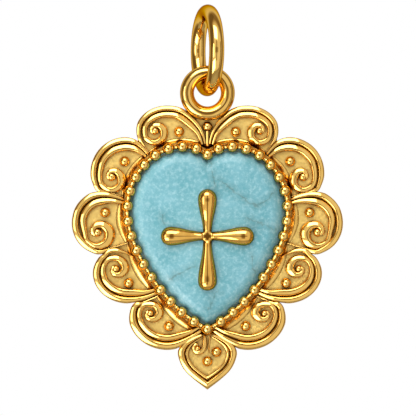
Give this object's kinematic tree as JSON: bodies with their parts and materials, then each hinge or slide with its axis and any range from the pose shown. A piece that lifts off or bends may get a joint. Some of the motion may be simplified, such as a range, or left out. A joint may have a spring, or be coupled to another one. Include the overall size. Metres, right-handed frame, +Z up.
{
  "type": "heart charm",
  "caption": "Gold wirework pendant charm with a heart shaped blue stone, a puffed cross, a beaded surround, scrolled scallops, a hanging eye and a jump ring that it swings on.",
  "frame": {"origin": "inner top of the jump ring, where a chain bears on it", "axes": "+Z up, the charm hangs down from the origin; the front faces -Y; +X to the right of someone who looks at the front"},
  "size_m": [0.0298, 0.01, 0.0424],
  "materials": {
    "polished_gold": "polished gold plate",
    "plain_gold": "plain gold plate",
    "satin_gold": "satin gold plate",
    "blue_stone": "polished opaque stone with fine flecks and veins"
  },
  "bodies": {
    "jump_ring": {"jump_ring": "polished_gold"},
    "charm": {"hanging_eye": "polished_gold", "base_plate": "satin_gold", "bezel_seat": "plain_gold", "collar_wire": "polished_gold", "beaded_wire": "polished_gold", "stone": "blue_stone", "cross": "polished_gold", "cross_peg_upper": "plain_gold", "cross_peg_lower": "plain_gold", "cleft_wire": "polished_gold", "rim_left_1": "polished_gold", "rim_left_2": "polished_gold", "rim_left_3": "polished_gold", "rim_left_4": "polished_gold", "rim_left_5": "polished_gold", "rim_right_1": "polished_gold", "rim_right_2": "polished_gold", "rim_right_3": "polished_gold", "rim_right_4": "polished_gold", "rim_right_5": "polished_gold", "tip_rim": "polished_gold", "scroll_left_1": "polished_gold", "scroll_left_2": "polished_gold", "scroll_left_3": "polished_gold", "scroll_left_4": "polished_gold", "scroll_left_5": "polished_gold", "scroll_right_1": "polished_gold", "scroll_right_2": "polished_gold", "scroll_right_3": "polished_gold", "scroll_right_4": "polished_gold", "scroll_right_5": "polished_gold", "tip_scroll": "polished_gold", "granule_left_1": "polished_gold", "granule_left_2": "polished_gold", "granule_left_3": "polished_gold", "granule_left_4": "polished_gold", "granule_left_5": "polished_gold", "granule_right_1": "polished_gold", "granule_right_2": "polished_gold", "granule_right_3": "polished_gold", "granule_right_4": "polished_gold", "granule_right_5": "polished_gold", "granule_cleft": "polished_gold", "granule_tip_upper": "polished_gold", "granule_tip_lower": "polished_gold"}
  },
  "joints": [
    {"name": "charm_swing", "type": "hinge", "parent": "jump_ring", "child": "charm", "pos_m": [0, 0, -0.00583], "axis": [1, 0, 0], "range_deg": [-55, 55]}
  ]
}
